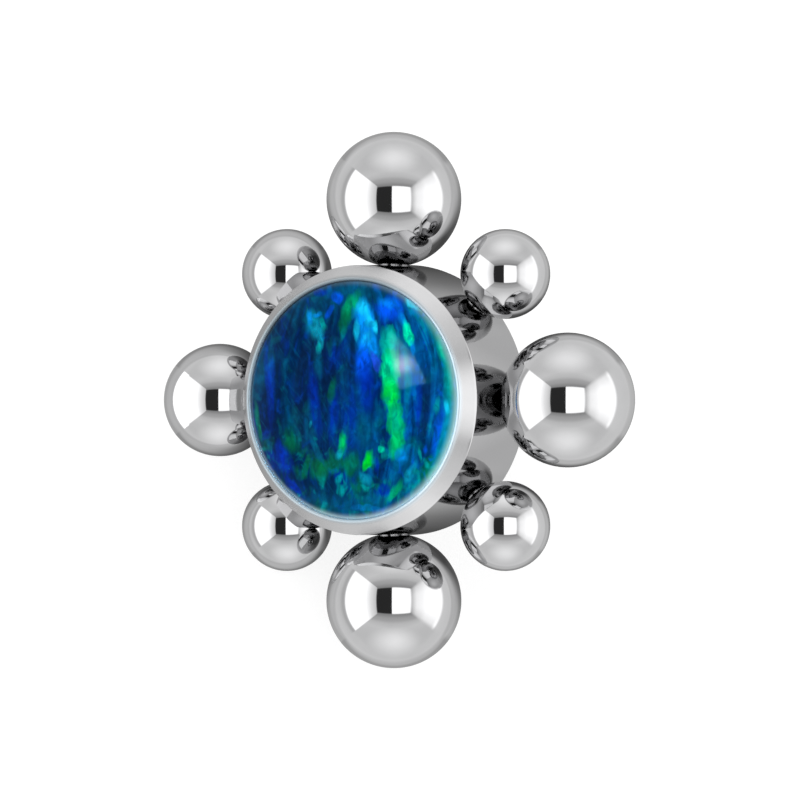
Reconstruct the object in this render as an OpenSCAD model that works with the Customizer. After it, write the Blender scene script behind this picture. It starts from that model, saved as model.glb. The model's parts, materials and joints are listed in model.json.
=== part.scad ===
// Threaded top for body jewellery: a round bezel cup with an opal in it, eight balls
// soldered round its wall and a short threaded post at its back. Millimetres.
//
// The pieces are drawn in the top's own frame: the post's axis is Z, with the face
// towards +Z, the middle ball on -X, and Z = 0 through the large balls' centres.
// They are then laid down as the top rests by itself, on one small ball, one large
// ball and the tip of its post, with the middle of its outline above the origin.

/* [Cup] */
// Outer diameter of the cup
cup_d = 3.0; // [2.8:0.05:3.4]
// Height of the cup's wall, from its back to the rim band
wall_h = 1.1; // [1.0:0.05:1.3]
// Thickness of the cup's wall
wall_t = 0.12; // [0.1:0.01:0.16]
// Thickness of the cup's floor, under the stone
floor_t = 0.4; // [0.35:0.05:0.5]
// Width of the rim band that holds the stone, seen from the front
rim_w = 0.165; // [0.15:0.005:0.2]
// Slope of the rim band, from the plane of the face
rim_slope = 40; // [36:1:44]

/* [Balls] */
// Diameter of the three large balls
large_ball_d = 1.5; // [1.4:0.05:1.6]
// Diameter of the middle ball
middle_ball_d = 1.25; // [1.15:0.05:1.3]
// Diameter of the four small balls
small_ball_d = 1.0; // [0.9:0.05:1.1]
// Height of the large balls' centres above the cup's back
ball_lift = 0.35; // [0.3:0.05:0.45]
// How much nearer the cup's back the small balls' centres lie
small_ball_drop = 0.05; // [0:0.05:0.1]
// How deep the balls sink into the cup's wall
ball_bite = 0.02; // [0.01:0.01:0.04]
// Diameter of the solder neck between a ball and the wall
solder_d = 0.4; // [0.3:0.05:0.5]

/* [Opal] */
// Radius of the sphere that the dome belongs to
dome_r = 2.0; // [1.9:0.05:2.4]
// Clearance between the pieces
gap = 0.02; // [0.01:0.005:0.03]

/* [Post] */
// Length of the post behind the cup
post_l = 1.8; // [1.6:0.1:2.2]
// Outer diameter of the thread
thread_d = 0.9; // [0.8:0.05:1]
// Pitch of the thread
pitch = 0.225; // [0.2:0.025:0.25]
// Plain length between the cup and the thread
neck_l = 0.25; // [0.15:0.05:0.35]
// Diameter of the head that holds the post in the cup's floor
head_d = 1.3; // [1.2:0.1:1.6]
// Thickness of the ledge in the cup's floor that the head stands on
ledge_t = 0.13; // [0.1:0.01:0.13]

/* [Hidden] */
$fn = 96;

// Radii and levels of the cup
cup_r = cup_d / 2;
back_z = -ball_lift;
shoulder_z = back_z + wall_h;
seat_z = back_z + floor_t;
seat_r = cup_r - wall_t;
edge_break = 0.02;
lip_r = cup_r - rim_w - edge_break;
lip_z = shoulder_z + rim_w * tan(rim_slope);
lip_land = 0.02;
lip_root_drop = 0.05;
lip_root_z = shoulder_z - lip_root_drop;

// The stone: its girdle stands in the cup, and its shoulder slopes in under the lip
girdle_r = seat_r - gap;
girdle_z = lip_root_z;
shoulder_r = lip_r - gap;
dome_edge_z = lip_z - edge_break;
dome_z = dome_edge_z - sqrt(dome_r * dome_r - shoulder_r * shoulder_r);
stone_base_z = seat_z + gap;
stone_base_bevel = 0.08;

// The post: a 60 degree thread of full height sharp_h, with flats of an eighth of the
// pitch at its crests and roots that round off below its straight flanks
thread_r = thread_d / 2;
tip_z = back_z - post_l;
tip_chamfer = 0.12;
tip_r = thread_r - tip_chamfer;
crest_w = pitch / 8;
sharp_h = pitch * cos(30);
flank_depth = 5 / 8 * sharp_h;
flank_w = flank_depth * tan(30);
root_depth = 17 / 24 * sharp_h;
thread_start_z = back_z - neck_l;
groove_count = floor((post_l - neck_l - tip_chamfer) / pitch);
head_top_z = seat_z - gap / 2;
ledge_z = back_z + ledge_t;
head_seat_z = ledge_z + gap / 2;

// Each ball: angle round the cup, radius, and level of its centre
large_r = large_ball_d / 2;
middle_r = middle_ball_d / 2;
small_r = small_ball_d / 2;
large_pitch_r = cup_r + large_r - ball_bite;
small_pitch_r = cup_r + small_r - ball_bite;
LARGE_BALLS = [0, 90, 270];
MIDDLE_BALL = 180;
SMALL_BALLS = [45, 135, 225, 315];
function ball(angle, radius, pitch_r, level) =
    [[pitch_r * cos(angle), pitch_r * sin(angle), level], radius, angle];
function centre(a_ball) = a_ball[0];
function radius(a_ball) = a_ball[1];
function angle(a_ball) = a_ball[2];
function pitch_radius(a_ball) = norm([centre(a_ball).x, centre(a_ball).y]);
BALLS = concat(
    [for (a = LARGE_BALLS) ball(a, large_r, large_pitch_r, 0)],
    [ball(MIDDLE_BALL, middle_r, large_pitch_r, 0)],
    [for (a = SMALL_BALLS) ball(a, small_r, small_pitch_r, -small_ball_drop)]
);

// How the top lies. tilt is the lean of the post's axis from upright, and lean is the
// side of the cup that sinks lowest. At the right tilt the small ball and the large
// ball next to it reach exactly as deep as the post's tip, and the two angles at which
// they do so lie an eighth of a turn apart.
small_foot = ball(SMALL_BALLS[2], small_r, small_pitch_r, -small_ball_drop);
large_foot = ball(LARGE_BALLS[2], large_r, large_pitch_r, 0);
function post_reach(tilt) = max(
    -tip_z * cos(tilt) + tip_r * sin(tilt),
    -(tip_z + tip_chamfer) * cos(tilt) + thread_r * sin(tilt)
);
function foot_offset(foot, tilt) = acos(min(1,
    (post_reach(tilt) - radius(foot) + centre(foot).z * cos(tilt))
    / (pitch_radius(foot) * sin(tilt))));
function settled_tilt(low, high, steps) =
    let (tilt = (low + high) / 2)
    let (spread = foot_offset(small_foot, tilt) + foot_offset(large_foot, tilt))
    let (too_far = spread > angle(large_foot) - angle(small_foot))
    steps == 0 ? tilt
    : settled_tilt(too_far ? low : tilt, too_far ? tilt : high, steps - 1);
least_tilt = 20;
most_tilt = 70;
halvings = 40;
tilt = settled_tilt(least_tilt, most_tilt, halvings);
lean = angle(small_foot) + foot_offset(small_foot, tilt);

// The side of the top that lies towards -Y, 30 degrees from the face's own direction
front_turn = 30;
front = [sin(front_turn), 0, cos(front_turn)];
function about_z(p, a) = [p.x * cos(a) - p.y * sin(a), p.x * sin(a) + p.y * cos(a), p.z];
function about_y(p, a) = [p.x * cos(a) + p.z * sin(a), p.y, p.z * cos(a) - p.x * sin(a)];
function tipped(p) = about_y(about_z(p, -lean), tilt);
yaw = -90 - atan2(tipped(front).y, tipped(front).x);
function laid(p) = about_z(tipped(p), yaw);
function middle_of(lows, highs) = (min(lows) + max(highs)) / 2;
middle_x = middle_of(
    [for (b = BALLS) laid(centre(b)).x - radius(b)],
    [for (b = BALLS) laid(centre(b)).x + radius(b)]
);
middle_y = middle_of(
    [for (b = BALLS) laid(centre(b)).y - radius(b)],
    [for (b = BALLS) laid(centre(b)).y + radius(b)]
);

module laid_down()
    translate([-middle_x, -middle_y, post_reach(tilt)])
        rotate([0, 0, yaw])
            rotate([0, tilt, 0])
                rotate([0, 0, -lean])
                    children();

// The turned cup, with a counterbored hole in its floor for the post
module cup() {
    hole_r = thread_r + gap;
    counterbore_r = head_d / 2 + gap;
    rotate_extrude()
        polygon([
            [hole_r, back_z],
            [cup_r - edge_break, back_z],
            [cup_r, back_z + edge_break],
            [cup_r, shoulder_z],
            [lip_r + edge_break, lip_z],
            [lip_r, lip_z - edge_break],
            [lip_r, lip_z - edge_break - lip_land],
            [seat_r, lip_root_z],
            [seat_r, seat_z],
            [counterbore_r, seat_z],
            [counterbore_r, ledge_z],
            [hole_r, ledge_z]
        ]);
}

// One ball and the solder neck that joins it to the wall, from the middle of the
// wall's thickness to halfway between the ball's skin and its centre. The ball is turned
// with its neck, so that the seam of its exact sphere faces away from the cup.
module soldered_ball(a_ball) {
    neck_from = cup_r - wall_t / 2;
    neck_to = pitch_radius(a_ball) - radius(a_ball) / 2;
    rotate([0, 0, angle(a_ball)])
        translate([0, 0, centre(a_ball).z]) {
            translate([pitch_radius(a_ball), 0, 0])
                sphere(r = radius(a_ball));
            translate([neck_from, 0, 0])
                rotate([0, 90, 0])
                    cylinder(d = solder_d, h = neck_to - neck_from);
        }
}

module bezel_setting() {
    color("silver") laid_down() {
        cup();
        for (b = BALLS) soldered_ball(b);
    }
}

module opal_cabochon() {
    color([0.04, 0.22, 0.5]) laid_down() intersection() {
        translate([0, 0, dome_z])
            sphere(r = dome_r);
        rotate_extrude()
            polygon([
                [0, stone_base_z],
                [girdle_r - stone_base_bevel, stone_base_z],
                [girdle_r, stone_base_z + stone_base_bevel],
                [girdle_r, girdle_z],
                [shoulder_r, dome_edge_z],
                [shoulder_r, dome_z + dome_r + gap],
                [0, dome_z + dome_r + gap]
            ]);
    }
}

module threaded_post() {
    groove = [
        [thread_r, -crest_w],
        [thread_r - flank_depth, -crest_w - flank_w],
        [thread_r - root_depth, -(crest_w + pitch) / 2],
        [thread_r - flank_depth, -pitch + flank_w],
        [thread_r, -pitch]
    ];
    color("gainsboro") laid_down() rotate_extrude()
        polygon(concat(
            [
                [0, head_top_z],
                [head_d / 2, head_top_z],
                [head_d / 2, head_seat_z],
                [thread_r, head_seat_z]
            ],
            [
                for (turn = [0:groove_count - 1], p = groove)
                    [p.x, p.y + thread_start_z - turn * pitch]
            ],
            [
                [thread_r, tip_z + tip_chamfer],
                [tip_r, tip_z],
                [0, tip_z]
            ]
        ));
}

bezel_setting();
opal_cabochon();
threaded_post();
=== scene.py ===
"""Looks of a threaded top for body jewellery: a bezel cup with an opal in it, eight balls
soldered round its wall, and a threaded post at its back.

It is laid out as an add-on and run as a script. Lengths in the code are millimetres in the
top's own axes, as in the part's source: Z is the post's axis, with the face towards +Z, the
middle ball lies on -X, and Z = 0 runs through the large balls' centres. place() turns them
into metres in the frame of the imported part."""

import json
import math
from collections import namedtuple

import bmesh
import bpy
import numpy as np
from bpy.props import FloatProperty, FloatVectorProperty, PointerProperty
from mathutils import Matrix, Vector


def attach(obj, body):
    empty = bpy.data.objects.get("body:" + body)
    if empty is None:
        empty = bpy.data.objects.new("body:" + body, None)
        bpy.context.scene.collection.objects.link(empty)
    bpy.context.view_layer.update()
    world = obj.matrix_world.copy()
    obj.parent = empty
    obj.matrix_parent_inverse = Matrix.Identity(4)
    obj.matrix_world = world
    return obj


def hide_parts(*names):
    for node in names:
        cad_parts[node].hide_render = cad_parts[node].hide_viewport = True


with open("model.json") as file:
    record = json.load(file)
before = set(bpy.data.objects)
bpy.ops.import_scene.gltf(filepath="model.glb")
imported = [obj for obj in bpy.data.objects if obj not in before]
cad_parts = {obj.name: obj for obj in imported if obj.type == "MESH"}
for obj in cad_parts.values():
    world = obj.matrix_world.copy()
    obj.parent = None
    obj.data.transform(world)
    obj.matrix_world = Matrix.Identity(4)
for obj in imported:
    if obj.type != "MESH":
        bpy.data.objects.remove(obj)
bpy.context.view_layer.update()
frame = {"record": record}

bl_info = {
    "name": "Opal Cluster Top",
    "version": (1, 0, 0),
    "blender": (4, 5, 0),
    "location": "View3D > Sidebar > Jewellery",
    "description": "Builds a threaded opal top with soldered balls on its packed frame",
    "category": "Add Mesh",
}

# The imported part

MOUNTS = {mount["name"]: mount for mount in frame["record"]["mounts"]}
POST_MOUNT = MOUNTS["threaded_post"]
SEAT_MOUNT = MOUNTS["shaft_seat"]
BODY = "root"

MM = 0.001
THREAD_DIAMETER = 2 * POST_MOUNT["dims"]["r_mm"]
BALL_LIFT = 0.35

# Own axes: the seat's mount lies on +X of the cup's back

OUT_OF_BACK = Vector(POST_MOUNT["axis"]).normalized()
POST_POINT = Vector(POST_MOUNT["pos_m"])
SEAT_POINT = Vector(SEAT_MOUNT["pos_m"])
BACK_POINT = POST_POINT + OUT_OF_BACK * (SEAT_POINT - POST_POINT).dot(OUT_OF_BACK)
AXIS_Z = -OUT_OF_BACK
AXIS_X = (SEAT_POINT - BACK_POINT).normalized()
AXIS_Y = AXIS_Z.cross(AXIS_X)
RING_CENTRE = BACK_POINT + AXIS_Z * (BALL_LIFT * MM)
OWN_TURN = np.array([AXIS_X, AXIS_Y, AXIS_Z])

# The photograph: its camera looks straight along a direction 30 degrees off the face

PHOTO_SIZE = 800
PIXELS_PER_MM = 90.0
RING_PIXEL_X = 393.4
RING_PIXEL_Y = 399.5
MIDDLE_PIXEL = (PHOTO_SIZE - 1) / 2
VIEW_TURN = math.radians(30)
TOWARDS_CAMERA = AXIS_X * math.sin(VIEW_TURN) + AXIS_Z * math.cos(VIEW_TURN)
PHOTO_UP = AXIS_Y.copy()
PHOTO_RIGHT = PHOTO_UP.cross(TOWARDS_CAMERA)


# Sizes and colours


def length(name, description, millimetres):
    """A length property, given in millimetres and kept in metres."""
    return FloatProperty(
        name=name,
        description=description,
        default=millimetres * MM,
        min=0.0,
        precision=6,
        unit="LENGTH",
    )


def paint(name, description, *screen_values):
    """A colour property, given as the 8-bit red, green and blue of a screen colour."""
    shares = [value / 255 for value in screen_values]
    linear = [s / 12.92 if s <= 0.04045 else ((s + 0.055) / 1.055) ** 2.4 for s in shares]
    return FloatVectorProperty(
        name=name,
        description=description,
        default=linear,
        min=0.0,
        max=1.0,
        size=3,
        subtype="COLOR",
    )


class SettingSizes(bpy.types.PropertyGroup):
    """The cup and the balls round it"""

    cup_diameter: length("Cup diameter", "Outer diameter of the cup's wall", 3.0)
    wall_height: length("Wall height", "Height from the cup's back to the rim band", 1.1)
    wall_thickness: length("Wall thickness", "Thickness of the cup's wall", 0.12)
    floor_thickness: length("Floor thickness", "Thickness of the floor under the stone", 0.4)
    ledge_thickness: length("Ledge thickness", "Ledge that the post's head stands on", 0.13)
    rim_width: length("Rim width", "Width of the rim band, with its lip", 0.182)
    rim_slope: FloatProperty(
        name="Rim slope",
        description="Slope of the rim band, from the plane of the face",
        default=math.radians(50),
        subtype="ANGLE",
    )
    rim_edge: length("Rim edge", "Rounding between the wall and the rim band", 0.02)
    lip_rounding: length("Lip rounding", "Rounding of the lip that holds the stone", 0.033)
    stone_edge: length("Stone edge", "Height of the stone's edge above the rim band", 0.15)
    large_ball: length("Large balls", "Diameter of the three large balls", 1.5)
    middle_ball: length("Middle ball", "Diameter of the middle ball", 1.25)
    small_ball: length("Small balls", "Diameter of the four small balls", 1.0)
    small_drop: length("Small drop", "How much nearer the back the small balls lie", 0.05)
    ball_bite: length("Ball bite", "How deep the balls sink into the wall", 0.02)
    solder: length("Solder", "Rounding of the solder at the large and small balls", 0.004)
    middle_solder: length("Middle solder", "Rounding of the solder at the middle ball", 0.08)
    steel: paint("Steel", "Colour of the polished steel", 199, 199, 200)


class OpalSizes(bpy.types.PropertyGroup):
    """The stone"""

    dome_radius: length("Dome radius", "Radius of the sphere that the dome belongs to", 2.0)
    clearance: length("Clearance", "Clearance between the stone and the cup", 0.02)
    night: paint("Night", "Darkest colour of the stone's body", 0, 26, 62)
    navy: paint("Navy", "Colour of the stone's body", 0, 38, 80)
    deep: paint("Deep", "Body of the stone towards its right side", 0, 86, 158)
    petrol: paint("Petrol", "Body of the stone at its top and foot", 0, 88, 122)
    # Painted reflection of the metal lip along the stone's edge
    edge: paint("Edge", "Pale glow along the stone's edge", 204, 232, 240)
    royal: paint("Royal", "Soft blue streaks", 0, 44, 168)
    blue: paint("Blue", "Bright blue flashes", 2, 84, 236)
    azure: paint("Azure", "Azure flashes", 4, 140, 240)
    cyan: paint("Cyan", "Brightest blue flashes", 20, 205, 248)
    turquoise: paint("Turquoise", "Mottled turquoise flashes", 10, 160, 190)
    teal: paint("Teal", "Teal flashes", 0, 150, 150)
    mint: paint("Mint", "Mint flashes", 0, 235, 175)
    jade: paint("Jade", "Green flashes with some blue in them", 0, 185, 100)
    green: paint("Green", "Purest green flashes", 0, 225, 20)
    moss: paint("Moss", "Dim green flashes", 0, 100, 62)
    violet: paint("Violet", "Violet-blue flashes", 30, 70, 215)


class PostSizes(bpy.types.PropertyGroup):
    """The threaded post"""

    thread_diameter: length("Thread diameter", "Outer diameter of the thread", THREAD_DIAMETER)
    pitch: length("Pitch", "Pitch of the thread", 0.225)
    post_length: length("Post length", "Length of the post behind the cup", 1.8)
    neck_length: length("Neck length", "Plain length between the cup and the thread", 0.25)
    head_diameter: length("Head diameter", "Diameter of the head in the cup's floor", 1.3)
    tip_chamfer: length("Tip chamfer", "Chamfer at the post's tip", 0.12)


def millimetres(group):
    """The sizes of a property group as plain numbers, lengths in millimetres."""
    found = {}
    for name in group.bl_rna.properties.keys():
        value = group.bl_rna.properties[name]
        if value.type != "FLOAT" or value.is_array:
            continue
        number = getattr(group, name)
        found[name] = number if value.subtype == "ANGLE" else number / MM
    return namedtuple("Sizes", found)(**found)


# Shader expressions


class Value:
    """A socket in a shader expression. Its operators add Math nodes."""

    def __init__(self, graph, socket):
        self.graph = graph
        self.socket = socket

    def out(self, name):
        """Another output of the same node."""
        return Value(self.graph, self.socket.node.outputs[name])

    def math(self, operation, *others):
        values = dict(enumerate((self,) + others))
        return self.graph.node("Math", {"operation": operation}, values)

    def reflected(self, operation, first):
        """An operation whose first value is a plain number."""
        return self.graph.node("Math", {"operation": operation}, {0: first, 1: self})

    def __add__(self, other):
        return self.math("ADD", other)

    __radd__ = __add__

    def __mul__(self, other):
        return self.math("MULTIPLY", other)

    __rmul__ = __mul__

    def __sub__(self, other):
        return self.math("SUBTRACT", other)

    def __rsub__(self, other):
        return self.reflected("SUBTRACT", other)

    def __truediv__(self, other):
        return self.math("DIVIDE", other)

    def __rtruediv__(self, other):
        return self.reflected("DIVIDE", other)

    def __abs__(self):
        return self.math("ABSOLUTE")

    def root(self):
        return self.math("SQRT")

    def most(self, other):
        return self.math("MAXIMUM", other)

    def smooth(self, start, end):
        """0 at start and 1 at end, with a soft step between them."""
        settings = {"interpolation_type": "SMOOTHSTEP"}
        values = {"Value": self, "From Min": min(start, end), "From Max": max(start, end)}
        if start > end:
            values.update({"To Min": 1.0, "To Max": 0.0})
        return self.graph.node("MapRange", settings, values)

    def inside(self, low, high, reach):
        """1 from low to high, with a soft step that reaches so far to both sides of each."""
        return self.smooth(low - reach, low + reach) * self.smooth(high + reach, high - reach)


class Graph:
    """The nodes of a material or of the world."""

    def __init__(self, owner):
        owner.use_nodes = True
        self.tree = owner.node_tree
        self.tree.nodes.clear()

    def node(self, kind, settings=None, values=None, output=None):
        """Adds a node: its settings first, then the numbers or links of its sockets."""
        made = self.tree.nodes.new("ShaderNode" + kind)
        for name, setting in (settings or {}).items():
            if name == "stops":
                set_stops(made.color_ramp, setting)
            else:
                setattr(made, name, setting)
        for name, value in (values or {}).items():
            socket = made.inputs[name] if isinstance(name, int) else open_socket(made, name)
            if isinstance(value, Value):
                self.tree.links.new(value.socket, socket)
            else:
                socket.default_value = value
        if output is not None:
            return Value(self, made.outputs[output])
        shown = [socket for socket in made.outputs if socket.enabled]
        return Value(self, shown[0]) if shown else None

    def vectors(self, operation, first, second=(0.0, 0.0, 0.0), output="Vector"):
        """A Vector Math node."""
        values = {0: first, 1: second}
        return self.node("VectorMath", {"operation": operation}, values, output)

    def dot(self, vector, direction):
        """How far a vector reaches along a constant direction."""
        return self.vectors("DOT_PRODUCT", vector, tuple(direction), "Value")

    def scaled(self, vector, share):
        """A vector or a colour, times a number."""
        values = {"Vector": vector, "Scale": share}
        return self.node("VectorMath", {"operation": "SCALE"}, values)

    def radius(self, x, y):
        """How far from the middle the point (x, y) lies."""
        return (x * x + y * y).root()

    def mix(self, share, first, second):
        """From the first colour to the second."""
        values = {"Factor": share, "A": colour(first), "B": colour(second)}
        return self.node("Mix", {"data_type": "RGBA"}, values)

    def ramp(self, value, stops):
        """A tone for each value, straight between the stops, which are (value, tone)."""
        low = stops[0][0]
        span = stops[-1][0] - low
        places = [((place - low) / span, (tone, tone, tone, 1.0)) for place, tone in stops]
        share = (value - low) / span
        return self.node("ValToRGB", {"stops": places}, {"Fac": share}, "Color")

    def noise(self, vector, scale, detail=2.0, roughness=0.5, output="Fac", distortion=0.0):
        values = {"Vector": vector, "Scale": scale, "Detail": detail}
        values.update({"Roughness": roughness, "Distortion": distortion})
        return self.node("TexNoise", {}, values, output)

    def vector(self, x=0.0, y=0.0, z=0.0):
        return self.node("CombineXYZ", {}, {"X": x, "Y": y, "Z": z})


def open_socket(node, name):
    """The input of that name that the node shows."""
    return next(socket for socket in node.inputs if socket.name == name and socket.enabled)


def set_stops(ramp, stops):
    """Puts (place, colour) stops into a colour ramp."""
    while len(ramp.elements) > 1:
        ramp.elements.remove(ramp.elements[-1])
    ramp.elements[0].position = stops[0][0]
    ramp.elements[0].color = stops[0][1]
    for place, tone in stops[1:]:
        ramp.elements.new(place).color = tone


def colour(value):
    """A colour for a socket: links stay, plain colours get their alpha."""
    if isinstance(value, Value):
        return value
    return tuple(value)[:3] + (1.0,)


# Meshes


def place(points):
    """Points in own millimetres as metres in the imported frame."""
    return np.array(RING_CENTRE) + MM * (np.asarray(points, float) @ OWN_TURN)


def linked_object(name, data):
    """A new object in the scene."""
    made = bpy.data.objects.new(name, data)
    bpy.context.scene.collection.objects.link(made)
    return made


def steady_object(name, points, faces, corner_normals=None):
    """A smooth mesh object from own millimetres, with exact normals where they are given."""
    mesh = bpy.data.meshes.new(name)
    mesh.from_pydata(place(points).tolist(), [], faces)
    mesh.validate()
    mesh.polygons.foreach_set("use_smooth", [True] * len(mesh.polygons))
    if corner_normals is not None:
        mesh.normals_split_custom_set((np.asarray(corner_normals) @ OWN_TURN).tolist())
    mesh.update()
    return linked_object(name, mesh)


Bend = namedtuple("Bend", "r z before after")
ROUNDING_STEPS = 6

# Points of an outline that are nearer than this to the axis lie on it
ON_AXIS = 1e-9


def outline(corners):
    """A closed outline in the R-Z plane, anticlockwise, from (r, z, rounding) corners.
    Each point has the normals of the stretches before and after it."""
    points = []
    count = len(corners)
    for index, (r, z, rounding) in enumerate(corners):
        here = np.array([r, z])
        last = np.array(corners[index - 1][:2])
        following = np.array(corners[(index + 1) % count][:2])
        way_in = (here - last) / np.linalg.norm(here - last)
        way_out = (following - here) / np.linalg.norm(following - here)
        normal_in = np.array([way_in[1], -way_in[0]])
        normal_out = np.array([way_out[1], -way_out[0]])
        turn = math.atan2(
            way_in[0] * way_out[1] - way_in[1] * way_out[0], float(way_in @ way_out)
        )
        if rounding == 0:
            points.append(Bend(r, z, normal_in, normal_out))
            continue
        reach = rounding * math.tan(abs(turn) / 2)
        side = math.copysign(1, turn)
        middle = here - way_in * reach - normal_in * rounding * side
        for step in range(ROUNDING_STEPS + 1):
            normal = rotated(normal_in, turn * step / ROUNDING_STEPS)
            spot = middle + normal * rounding * side
            points.append(Bend(spot[0], spot[1], normal, normal))
    return points


def rotated(vector, angle):
    """A plane vector, turned anticlockwise."""
    cosine, sine = math.cos(angle), math.sin(angle)
    return np.array([vector[0] * cosine - vector[1] * sine, vector[0] * sine + vector[1] * cosine])


def revolved(name, bends, segments, closed):
    """A turned piece with exact normals. An open outline starts and ends on the axis."""
    angles = np.arange(segments) * 2 * math.pi / segments
    compass = np.stack([np.cos(angles), np.sin(angles)], 1)
    points = []
    first = []
    for bend in bends:
        first.append(len(points))
        if bend.r < ON_AXIS:
            points.append((0.0, 0.0, bend.z))
        else:
            points.extend((bend.r * c, bend.r * s, bend.z) for c, s in compass)
    faces = []
    normals = []
    stretches = len(bends) if closed else len(bends) - 1
    for index in range(stretches):
        low = bends[index]
        high = bends[(index + 1) % len(bends)]
        start = first[index]
        end = first[(index + 1) % len(bends)]
        for k in range(segments):
            following = (k + 1) % segments
            corners = []
            if low.r < ON_AXIS:
                corners.append((start, low.after, k))
            else:
                corners.append((start + k, low.after, k))
                corners.append((start + following, low.after, following))
            if high.r < ON_AXIS:
                corners.append((end, high.before, k))
            else:
                corners.append((end + following, high.before, following))
                corners.append((end + k, high.before, k))
            faces.append([corner[0] for corner in corners])
            for _, normal, spoke in corners:
                c, s = compass[spoke]
                normals.append((normal[0] * c, normal[0] * s, normal[1]))
    return steady_object(name, points, faces, normals)


def finished(piece, material, node):
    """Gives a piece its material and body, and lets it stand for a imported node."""
    piece.data.materials.append(material)
    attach(piece, BODY)
    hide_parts(node)


# Steel


def own_position(graph):
    """The place on the piece, in millimetres from the ring's centre."""
    where = graph.node("NewGeometry", output="Position")
    return graph.scaled(graph.vectors("SUBTRACT", where, tuple(RING_CENTRE)), 1 / MM)


def principled(graph, values):
    """The closing shader of a material."""
    shader = graph.node("BsdfPrincipled", {}, values)
    graph.node("OutputMaterial", {}, {"Surface": shader})


# Noise scales of the steel's faint clouds, of its grain and of the turning marks
CLOUD_SCALE = 3.0
GRAIN_SCALE = 20.0
TURNING_SCALE = 45.0
TURNING_HEIGHT = 12.0
BUMP_STRENGTH = 0.04

# How much rougher the cup's back, its rim band and its lip are than its wall
BACK_DULLNESS = 0.09
BAND_DULLNESS = 0.16
LIP_DULLNESS = 0.3

# Painted reflection of the stone in the lip: what the lip keeps of the steel's red, green and blue
LIP_PAINTED_REFLECTION = (0.76, 0.93, 1.02)

# Painted shade: how much the wall keeps of the steel's tone on the side of the large ball at the
# right
WALL_SHADE = 0.86


def steel_material(name, base, roughness, cup=None):
    """Polished steel with faint cloudiness. On the cup its back has turning marks, and its
    rim band and lip are duller, as the tool that presses them onto the stone leaves them.
    The lip gets a painted reflection of the stone and painted light, and the wall beside the
    large ball at the right gets painted shade."""
    material = bpy.data.materials.new(name)
    graph = Graph(material)
    spot = own_position(graph)
    clouds = graph.noise(spot, CLOUD_SCALE, 3.0)
    height = graph.noise(spot, GRAIN_SCALE, 2.0) * 0.6
    polish = roughness + clouds * (roughness * 0.5)
    tone = graph.mix(clouds.smooth(0.35, 0.7), base, [value * 0.96 for value in base])
    if cup:
        x = graph.dot(spot, AXIS_X)
        y = graph.dot(spot, AXIS_Y)
        radius = graph.radius(x, y)
        along = graph.dot(spot, AXIS_Z)
        on_back = along.smooth(cup.back + 0.012, cup.back + 0.004)
        rings = graph.noise(graph.vector(radius), TURNING_SCALE, 3.0)
        height = height + rings * on_back * TURNING_HEIGHT
        on_band = along.smooth(cup.shoulder + 0.01, cup.shoulder + 0.025)
        on_lip = radius.smooth(cup.lip_radius + 0.085, cup.lip_radius + 0.02) * on_band
        polish = polish + on_back * BACK_DULLNESS + on_band * BAND_DULLNESS
        polish = polish + on_lip * LIP_DULLNESS
        # Painted reflection of the stone's blue in the lip, and painted light on it: lighter on
        # the right and along its inner edge towards the bottom, darker at the top
        reflection_tinted = tuple(value * share for value, share in zip(base, LIP_PAINTED_REFLECTION))
        inner = radius.smooth(cup.lip_radius + 0.03, cup.lip_radius) * y.smooth(0.4, -0.6)
        light = x.smooth(0.2, 1.2) * 0.7 - y.smooth(0.1, 1.2) * 0.4 + inner * 0.5 + 0.85
        tone = graph.mix(on_lip, tone, graph.scaled(reflection_tinted, light))
        # Painted shade on the wall beside the large ball at the right, below the rim band
        shaded = x.smooth(1.1, 1.35) * along.smooth(cup.shoulder, cup.shoulder - 0.02)
        tone = graph.mix(shaded, tone, [value * WALL_SHADE for value in base])
    values = {"Strength": BUMP_STRENGTH, "Distance": 0.001 * MM, "Height": height}
    bump = graph.node("Bump", {}, values)
    values = {"Base Color": tone, "Metallic": 1.0, "Roughness": polish, "Normal": bump}
    principled(graph, values)
    return material


# Stage

# The room that the polished metal mirrors, in the photograph's own directions: half its
# width is 1, and its other distances are in the same unit
ROOM_HEIGHT = 0.8
ROOM_DEPTH = 1.6
WALL_BLEND = 0.06
RIGHT_BLEND = 0.2

WHITE = 1.9
DARK_PANEL = 0.035

# (place, tone) along the walls and lids, from far behind the top to behind the camera
LEFT_TONES = (
    (-1.6, 0.76), (-1.2, 0.90), (-0.8, 0.94), (-0.45, 0.91), (-0.3, 0.86), (-0.17, 0.66),
    (-0.08, 0.70), (-0.02, WHITE), (0.84, WHITE), (1.0, 1.62), (1.19, 1.32), (1.6, 0.98),
)
RIGHT_TONES = (
    (-1.6, 0.86), (-1.2, 0.96), (-1.0, 0.91), (-0.7, 0.92), (-0.3, 0.97), (-0.1, 1.0),
    (0.0, WHITE), (0.58, WHITE), (0.84, 1.7), (1.0, 1.64), (1.19, 1.56), (1.6, 0.96),
)
LID_TONES = (
    (-1.6, 0.61), (-0.95, 0.94), (-0.67, 0.94), (-0.46, 0.92), (-0.25, 0.92), (-0.1, 0.87),
    (0.1, 0.86), (0.3, 0.88), (0.5, 0.92), (0.67, 0.95), (0.95, 0.82), (1.13, 0.64),
    (1.4, 0.56), (1.6, 0.45),
)

# How much darker the right wall is above and below its middle, in front of the top
RIGHT_FALLOFF = 0.28

# A soft light on each lid
GLOW_TONE = 0.47
GLOW_MIDDLE = 0.2
GLOW_ACROSS = 0.7
GLOW_ALONG = 0.62

# The wall behind the camera: a black strip, a white panel beside it, and what is round them
STRIP_LEFT = -0.96
STRIP_RIGHT = -0.09
PANEL_RIGHT = 0.887
PANEL_HALF_HEIGHT = 0.665
PANEL_BLEND = 0.02
MARGIN_BLEND = 0.045
FRONT_GAP_TONE = 1.35
FRONT_MARGIN_TONE = 0.4

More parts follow.
